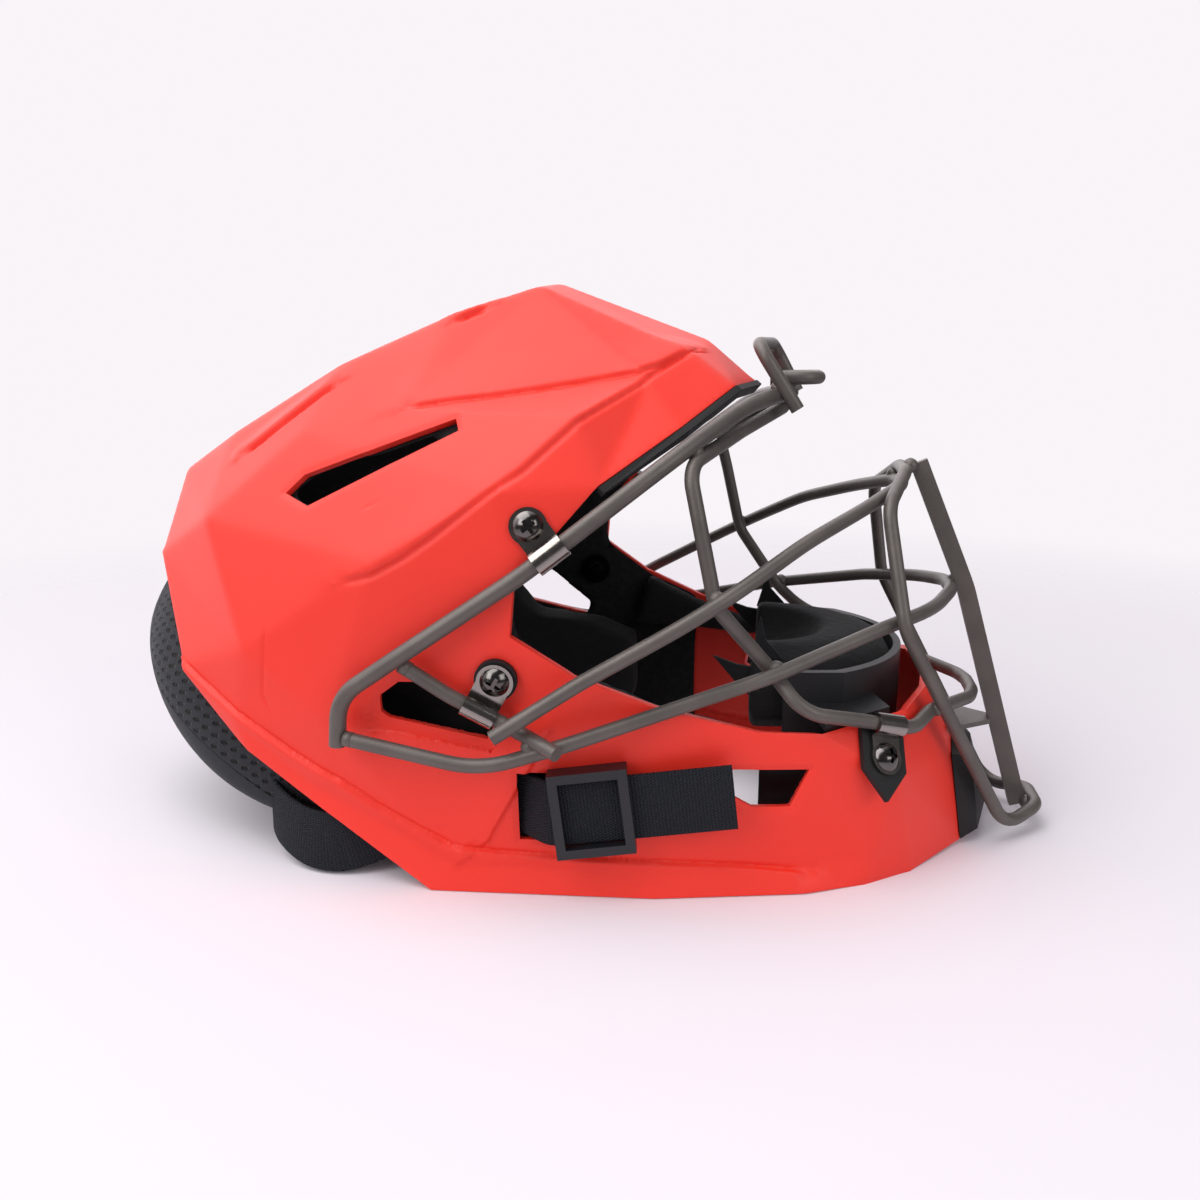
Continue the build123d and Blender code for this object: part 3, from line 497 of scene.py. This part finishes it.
foam = Finish("black_bead_foam", (0.012, 0.012, 0.013), roughness=0.85, specular=0.25)
beads = foam.cells(330)
foam.tint(beads, (0.008, 0.008, 0.009), (0.018, 0.018, 0.019))
foam.bump(beads, strength=0.4, distance=0.0006)
wear(liner, foam)

cloth = Finish("brushed_cloth", (0.008, 0.008, 0.009), roughness=0.9, sheen=0.05, specular=0.3)
nap = cloth.noise(1500, detail=4)
fluff = cloth.noise(260, detail=3)
cloth.tint(nap, (0.004, 0.004, 0.005), (0.014, 0.014, 0.016))
cloth.bump(nap, strength=0.5, distance=0.0005)
cloth.bump(fluff, strength=0.4, distance=0.0012)


def cushioned(piece, grain_size, passes):
    """Turn a closed block into a padded form with rounded corners."""
    remesh = piece.modifiers.new("even", "REMESH")
    remesh.mode = "VOXEL"
    remesh.voxel_size = grain_size
    rounding = piece.modifiers.new("round", "SMOOTH")
    rounding.factor = 0.5
    rounding.iterations = passes
    divide = piece.modifiers.new("finer", "SUBSURF")
    divide.levels = divide.render_levels = 1
    return piece


def slab(grid, outline, first_y, second_y):
    """A closed block between two copies of an outline along X and Z, all in millimetres."""
    near, far = [[grid.verts.new(Vector((x, y, z)) * MM) for x, z in outline] for y in (first_y, second_y)]
    grid.faces.new(near)
    grid.faces.new(far[::-1])
    for i in range(len(outline)):
        j = (i + 1) % len(outline)
        grid.faces.new((near[j], near[i], far[i], far[j]))
    bmesh.ops.recalc_face_normals(grid, faces=grid.faces)


ear_outline = [(-78, 10), (-83, 40), (-79, 82), (-50, 80), (-38, 64), (-8, 62), (13, 54), (14, 24), (0, 8),
               (-60, 6)]
ear_outer, ear_inner = 84, 58
for side, sign in (("left", 1), ("right", -1)):
    block = bmesh.new()
    slab(block, ear_outline, sign * ear_outer, sign * ear_inner)
    ear_cushion = cushioned(piece_of(f"ear_cushion_{side}", block), grain_size=3 * MM, passes=9)
    wear(ear_cushion, cloth)

worn_height_share = 0.81
for name in list(nodes):
    if name.endswith(("_pad", "_pad_left", "_pad_right")) and name != "neck_pad":
        grid = welded(name)
        pad_grain, pad_passes = 2.5 * MM, 6
        if name == "chin_pad":
            pad_grain, pad_passes = 1.8 * MM, 8
            low = min(vert.co.z for vert in grid.verts)
            for vert in grid.verts:
                vert.co.z = low + (vert.co.z - low) * worn_height_share
        pad = cushioned(piece_of(name + "_cushion", grid), pad_grain, pad_passes)
        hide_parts(name)
        wear(pad, cloth)


# Corners of the chin pad's cover: doubled cloth that stands out in two points at each rear
# end of the pad, where the cover is cut and folded. They are sewn to the cover.
upper_corner = [(73.5, 77), (75.5, 84), (77.5, 95), (79.5, 86), (86, 79)]
lower_corner = [(76, 62), (68, 70), (60, 79), (69, 76), (76, 75)]
cloth_doubled = 1.6
grid = bmesh.new()
for sign in (-1, 1):
    for outline, y in ((upper_corner, 46), (lower_corner, 47)):
        slab(grid, outline, sign * y, sign * (y + cloth_doubled))
corners = piece_of("chin_pad_corners", grid)
corners.data.polygons.foreach_set("use_smooth", [False] * len(corners.data.polygons))
wear(corners, cloth)


# Neck pad: two layers of open spacer mesh over foam, bound round the lower edge with felt. It
# is tucked behind the shell's rear rim and curves round the neck. Its rows run down from the
# rim, each from the pad's end to the middle of the back.
neck_rows = (
    ((-94.2, 90.5, 39.9), (-131.7, 78.9, 76.8), (-162.9, 42.4, 119.0), (-175.1, 0, 116.6)),
    ((-88.5, 91.5, 32.5), (-142.5, 73.0, 72.9), (-164.5, 45.6, 111.0), (-180.5, 0, 104.7)),
    ((-88, 88, 24), (-147, 79, 50), (-186, 47, 84), (-198, 0, 84)),
    ((-84, 87, 16), (-138, 82, 27), (-181, 51, 58), (-196, 0, 64)),
    ((-82, 84, 11), (-128, 79, 17), (-174, 48, 44), (-190, 0, 54)),
)
neck_inward = ((0.63, -0.78), (0.84, -0.54), (0.955, -0.3), (1, 0))
neck_thickness = 14
neck_centre_x, neck_radius = 0.02, 0.13
grid = bmesh.new()
across = grid.loops.layers.uv.new("weave")
layers = []
for depth in (0, neck_thickness):
    rows = []
    for row in neck_rows:
        half = [Vector((x + dx * depth, y + dy * depth, z)) * MM
                for (x, y, z), (dx, dy) in zip(row, neck_inward)]
        other = [Vector((point.x, -point.y, point.z)) for point in half[:-1]]
        rows.append([grid.verts.new(point) for point in other + half[::-1]])
    layers.append(rows)
outer_rows, inner_rows = layers
strips = list(zip(outer_rows, outer_rows[1:])) + list(zip(inner_rows[1:], inner_rows))
strips += [(outer_rows[-1], inner_rows[-1]), (inner_rows[0], outer_rows[0])]
for near, far in strips:
    for i in range(len(near) - 1):
        grid.faces.new((near[i], near[i + 1], far[i + 1], far[i]))
for column in (0, -1):
    for i in range(len(neck_rows) - 1):
        grid.faces.new((outer_rows[i][column], outer_rows[i + 1][column], inner_rows[i + 1][column],
                        inner_rows[i][column]))
bmesh.ops.recalc_face_normals(grid, faces=grid.faces)
for face in grid.faces:
    for corner in face.loops:
        point = corner.vert.co
        corner[across].uv = (math.atan2(point.y, point.x - neck_centre_x) * neck_radius, point.z)
neck = piece_of("neck_cushion", grid)
divide = neck.modifiers.new("round", "SUBSURF")
divide.levels = divide.render_levels = 4
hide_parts("neck_pad")

rim_line = (-0.150, 0.072)
rim_out = (-0.486, -0.874)
felt_from, felt_rear, felt_edge = 21 * MM, -176 * MM, 1500
pores_round, pores_up = 1100, 1350
mesh_cloth = Finish("spacer_mesh", (0.01, 0.01, 0.012), roughness=0.8, sheen=0.1, specular=0.3)
turn_round, height_up, _ = mesh_cloth.axes(mesh_cloth.weave)
pad_x, _, pad_z = mesh_cloth.axes(mesh_cloth.place)
below_rim = (pad_x - rim_line[0]) * rim_out[0] + (pad_z - rim_line[1]) * rim_out[1]
felt = ((below_rim - felt_from).math("MAXIMUM", felt_rear - pad_x) * felt_edge).clamped()
# The mesh's real pattern of holes; their near-black colour is painted shade inside the holes, over the fibre
# colour.
shaded_pores = ((turn_round * pores_round).sine() * (height_up * pores_up).sine() - 0.25) * 2.6
shaded_pores = shaded_pores.clamped() * (1 - felt)
mesh_cloth.tint(shaded_pores, (0.019, 0.02, 0.024), (0.001, 0.001, 0.001))
mesh_cloth.bump(shaded_pores * -1 + 1, strength=1.0, distance=0.0014)
mesh_cloth.bump(felt, strength=1.0, distance=0.0012)
mesh_cloth.bump(mesh_cloth.noise(1900, detail=4), strength=0.5, distance=0.0006)
wear(neck, mesh_cloth)


# Brow trim, the discs and shields under the clips, and the bumper on the chin: matt black
# rubber. The trim is pushed over the shell's edge, the bumper covers the front of the chin,
# and the screws hold the discs and shields.
rubber = Finish("black_rubber", (0.011, 0.011, 0.012), roughness=0.55, specular=0.35)
rubber_grain = rubber.noise(800, detail=3)
rubber.feed("Roughness", 0.5 + rubber_grain * 0.2)
rubber.bump(rubber_grain, strength=0.2, distance=0.0002)


def smooth_by_angle(mesh, angle):
    """Smooth faces, sharp edges where the turn is more than an angle in degrees."""
    mesh.polygons.foreach_set("use_smooth", [True] * len(mesh.polygons))
    grid = bmesh.new()
    grid.from_mesh(mesh)
    for edge in grid.edges:
        edge.smooth = not (edge.is_manifold and edge.calc_face_angle(0) > math.radians(angle))
    grid.to_mesh(mesh)
    grid.free()


def dress(name, finish, edge=0.0, segments=2, angle=35):
    """Give a node its finish, edges rounded by a width, and smooth faces up to an angle."""
    wear(nodes[name], finish)
    if edge:
        soften(nodes[name], edge, segments)
    smooth_by_angle(nodes[name].data, angle)


for name in ("middle_rubber_pads", "lower_rubber_pads", "brow_trim", "chin_bumper"):
    dress(name, rubber, edge=0.6 * MM)


# Chin cup: a soft black moulding under the chin pad, with a flap over each edge of the jaw
# and a low skirt round it, which shows through the vents of the cheeks.
cup_plastic = Finish("cup_moulding", (0.014, 0.014, 0.016), roughness=0.5, specular=0.4)
cup_grain = cup_plastic.noise(900, detail=3)
cup_plastic.bump(cup_grain, strength=0.15, distance=0.0002)
dress("chin_cup", cup_plastic, edge=0.8 * MM)


def rounded_run(points, passes):
    """A line with its corners cut again and again."""
    for _ in range(passes):
        fresh = [points[0]]
        for start, end in zip(points, points[1:]):
            fresh += [start.lerp(end, 0.25), start.lerp(end, 0.75)]
        points = fresh + [points[-1]]
    return points


skirt_outline = [(79, 56), (106, 54), (120, 44), (128, 26), (131, 0)]
skirt_low, skirt_high, skirt_wall = 20, 47, 2
skirt_points = skirt_outline + [(x, -y) for x, y in skirt_outline[-2::-1]]
skirt_line = rounded_run([Vector((x, y, 0)) * MM for x, y in skirt_points], 2)
grid = bmesh.new()
low_ring, high_ring = [[grid.verts.new(point + Vector((0, 0, z * MM))) for point in skirt_line]
                       for z in (skirt_low, skirt_high)]
for i in range(len(skirt_line) - 1):
    grid.faces.new((low_ring[i], low_ring[i + 1], high_ring[i + 1], high_ring[i]))
skirt = piece_of("chin_cup_skirt", grid)
thicken(skirt, skirt_wall * MM, offset=0)
wear(skirt, cup_plastic)


# Cage: round steel wires, struts, loops and the flat centre bar, welded where they cross and
# then powder coated in a grey brown with a fine orange peel. The short wire ends carry the
# struts and the mouth bar on to the wire that they are welded to.
coat = Finish("powder_coat", (0.115, 0.098, 0.088), roughness=0.42, metallic=0.25)
peel = coat.noise(900, detail=2)
cloud = coat.noise(60, detail=3)
coat.tint(coat.ramp(cloud, (0.3, 0), (0.7, 1)), (0.088, 0.076, 0.069), (0.120, 0.104, 0.094))
coat.feed("Roughness", 0.38 + peel * 0.14)
coat.bump(peel, strength=0.25, distance=0.0003)
cage_nodes = sorted(name for name in nodes if name.startswith("cage_")) + ["chin_bracket"]
for name in cage_nodes:
    dress(name, coat, angle=40)


def meeting_places(first, second, reach, spacing):
    """Where two meshes come within a reach of each other, no two places closer than a spacing."""
    tree = BVHTree.FromPolygons([vert.co for vert in second.vertices],
                                [face.vertices for face in second.polygons])
    found = []
    for vert in first.vertices:
        near, _, _, distance = tree.find_nearest(vert.co, reach)
        if near is not None:
            found.append((distance, ((vert.co + near) / 2)[:]))
    places = []
    for _, place in sorted(found):
        if all((Vector(place) - other).length > spacing for other in places):
            places.append(Vector(place))
    return places


bead_radius, bead_reach, bead_spacing, bead_swell = 3.2 * MM, 0.9 * MM, 16 * MM, 0.07
bead_random = random.Random(5)
wire_ends = (((-37.5, 107.9, 84.6), (-44.8, 107.7, 88.3)), ((-58, 111.8, 60), (-64.8, 111.6, 61.2)))
end_radius = 2.75 * MM
bead_grid = bmesh.new()
for number, name in enumerate(cage_nodes[:-1]):
    for other in cage_nodes[number + 1:]:
        for place in meeting_places(nodes[name].data, nodes[other].data, bead_reach, bead_spacing):
            made = bmesh.ops.create_icosphere(bead_grid, subdivisions=3, radius=bead_radius)
            for vert in made["verts"]:
                vert.co = place + vert.co * (1 + bead_swell * bead_random.uniform(-1, 1))
for start, end in wire_ends:
    for sign in (1, -1):
        near, far = [Vector((x, sign * y, z)) * MM for x, y, z in (start, end)]
        turn = (far - near).to_track_quat("Z", "Y").to_matrix().to_4x4()
        bmesh.ops.create_cone(bead_grid, cap_ends=True, segments=32, radius1=end_radius, radius2=end_radius,
                              depth=(far - near).length, matrix=Matrix.Translation((near + far) / 2) @ turn)
for _ in range(2):
    bmesh.ops.smooth_vert(bead_grid, verts=bead_grid.verts, factor=0.5, use_axis_x=True, use_axis_y=True,
                          use_axis_z=True)
wear(piece_of("weld_beads", bead_grid), coat)


# Clips of bent sheet steel hold the cage, each under a truss-head screw with a flanged nut
# inside the shell. The clips are plated with dark nickel, the screws and nuts with black.
plate = Finish("dark_nickel", (0.30, 0.275, 0.255), roughness=0.2, metallic=1.0)
brush = plate.noise(300, detail=3)
plate.feed("Roughness", 0.12 + brush * 0.16)
plate.bump(brush, strength=0.1, distance=0.0002)
black_plate = Finish("black_nickel", (0.13, 0.12, 0.115), roughness=0.16, metallic=1.0)
tool_marks = black_plate.noise(700, detail=3)
black_plate.feed("Roughness", 0.1 + tool_marks * 0.16)
for name in ("upper", "middle", "lower"):
    dress(f"{name}_clips", plate, edge=0.3 * MM)
    for fastener in ("screws", "nuts"):
        dress(f"{name}_{fastener}", black_plate)


# Straps of woven elastic, from the tail back through the slider, in through the slot in the
# jaw, out below the rear rim, and folded inward to the end of the neck pad.
strap_width, strap_thickness = 24 * MM, 1.8 * MM
strap_route = [(71.7, 93.4, 41.4), (54, 95.7, 39.2), (14, 101.0, 34.2), (10.5, 101.5, 33.7),
               (5.7, 100.6, 33.4), (-5.1, 91.0, 33), (-9.9, 89.8, 32.6), (-33.1, 90.8, 29.9),
               (-50, 90.6, 23.5), (-62, 93, 17.2), (-74, 96.5, 13), (-86, 96, 13.4), (-97, 91, 16.2),
               (-106, 84, 19.5), (-111, 75, 22), (-109, 66, 24)]


def webbing_band(name, points, width, thickness):
    """A band standing on its edge along a line, its edges rounded, with UVs in metres."""
    half, edge = width / 2, thickness / 2
    inset, shoulder = edge * 0.3, edge * 0.8
    section = [(-half + inset, -shoulder), (-half + edge, -edge), (half - edge, -edge),
               (half - inset, -shoulder), (half, 0), (half - inset, shoulder), (half - edge, edge),
               (-half + edge, edge), (-half + inset, shoulder), (-half, 0)]
    grid = bmesh.new()
    layer = grid.loops.layers.uv.new("weave")
    rings, run, length = [], 0.0, []
    for number, point in enumerate(points):
        along = (points[min(number + 1, len(points) - 1)] - points[max(number - 1, 0)]).normalized()
        upward = (Vector((0, 0, 1)) - along * along.z).normalized()
        outward = upward.cross(along).normalized()
        rings.append([grid.verts.new(point + upward * up + outward * out) for up, out in section])
        run += (point - points[max(number - 1, 0)]).length
        length.append(run)
    for near, far, start, end in zip(rings, rings[1:], length, length[1:]):
        for i in range(len(section)):
            j = (i + 1) % len(section)
            face = grid.faces.new((near[i], near[j], far[j], far[i]))
            low, high = section[i][0], section[j][0]
            for corner, place in zip(face.loops, ((start, low), (start, high), (end, high), (end, low))):
                corner[layer].uv = place
    grid.faces.new(rings[0])
    grid.faces.new(rings[-1])
    bmesh.ops.recalc_face_normals(grid, faces=grid.faces)
    return piece_of(name, grid), run


webbing = Finish("woven_elastic", (0.012, 0.013, 0.018), roughness=0.8, specular=0.25)
run_along, run_up, _ = webbing.axes(webbing.weave)
wander = webbing.noise(500, detail=2)
ribs_along, picks_up, picks_along = 5200, 6500, 2600
ribs = (run_along * ribs_along + wander * 5).sine() * 0.5 + 0.5
picks = (run_up * picks_up + run_along * picks_along + wander * 4).sine() * 0.5 + 0.5
weave = ribs * 0.45 + picks * 0.55
webbing.tint(weave, (0.003, 0.0035, 0.005), (0.017, 0.02, 0.028))
webbing.bump(weave, strength=0.9, distance=0.0005)
for side, sign in (("left", 1), ("right", -1)):
    route = rounded_run([Vector((x, sign * y, z)) * MM for x, y, z in strap_route], 3)
    strap, strap_length = webbing_band(f"webbing_{side}", route, strap_width, strap_thickness)
    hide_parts(f"strap_{side}")
    wear(strap, webbing)


# Sliders: black moulded frames, one on each strap, that hold its tail. They aren't fixed, and
# slide along the strap to set its length.
slider_plastic = Finish("slider_moulding", (0.01, 0.011, 0.014), roughness=0.3, specular=0.45)
slider_grain = slider_plastic.noise(600, detail=3)
slider_plastic.feed("Roughness", 0.26 + slider_grain * 0.16)
slider_plastic.bump(slider_grain, strength=0.1, distance=0.0002)
for side in ("left", "right"):
    dress(f"slider_{side}", slider_plastic, edge=1.4 * MM, segments=4)


# The table under the helmet is pale paper, which fades out into the white studio. Four soft
# lamps light the helmet: one above, one on each side of the camera and a faint one in the jaw.
paper = Finish("paper", (0.805, 0.76, 0.815), roughness=0.9, specular=0.1)
floor_x, floor_y, _ = paper.axes(paper.place)
away = (floor_x * floor_x + floor_y * floor_y).math("SQRT")
fade_from, fade_rate, half_table = 0.2, 1.6, 2
fade = ((away - fade_from) * fade_rate).clamped()
paper.mix_shaders(fade, paper.shader, paper.node("ShaderNodeBsdfTransparent"), "Material Output")
table_corners = [(x * half_table, y * half_table, 0) for x, y in ((-1, -1), (1, -1), (1, 1), (-1, 1))]
floor_mesh = bpy.data.meshes.new("table")
floor_mesh.from_pydata(table_corners, [], [(0, 1, 2, 3)])
floor_mesh.materials.append(paper.material)
floor = bpy.data.objects.new("table", floor_mesh)
bpy.context.scene.collection.objects.link(floor)

world = bpy.data.worlds.new("studio")
bpy.context.scene.world = world
world.use_nodes = True
studio = Graph(world.node_tree)
rays = studio.node("ShaderNodeLightPath")
camera_ray = studio.out(rays, "Is Camera Ray")
mirror_ray = (studio.out(rays, "Is Glossy Ray") + studio.out(rays, "Is Transmission Ray")).clamped()
heading = studio.node("ShaderNodeTexCoord")
to_front, to_left, upward = studio.axes(heading.outputs["Generated"])
room = (to_left * 0.8 + upward * 0.9 - to_front * 0.9 - 0.4).clamped()
room_glow, room_dark = 2.7, 0.1
lit = studio.node("ShaderNodeBackground", None, Color=(0.95, 0.92, 0.96, 1), Strength=0.5)
seen = studio.node("ShaderNodeBackground", None, Color=(0.947, 0.905, 0.938, 1),
                   Strength=camera_ray + mirror_ray * (room * room_glow + room_dark))
studio.mix_shaders((camera_ray + mirror_ray).clamped(), lit, seen, "World Output")


def lamp(name, place, size, power, target=(0, 0, 0.1)):
    """A soft lamp aimed at the helmet, itself unseen."""
    light = bpy.data.lights.new(name, "AREA")
    light.shape = "RECTANGLE"
    light.size = light.size_y = size
    light.energy = power
    piece = bpy.data.objects.new(name, light)
    piece.location = place
    piece.rotation_euler = (Vector(target) - Vector(place)).to_track_quat("-Z", "Y").to_euler()
    piece.visible_camera = False
    bpy.context.scene.collection.objects.link(piece)


lamp("top_lamp", place=(-0.5, -0.35, 1.4), size=1.4, power=16.5)
lamp("right_lamp", place=(1.3, -0.9, 0.8), size=0.9, power=7)
lamp("left_lamp", place=(-1.0, -1.3, 0.9), size=0.9, power=10)
lamp("inner_lamp", place=(0.055, 0.0, 0.045), size=0.05, power=0.02, target=(0.055, 0.0, 0))
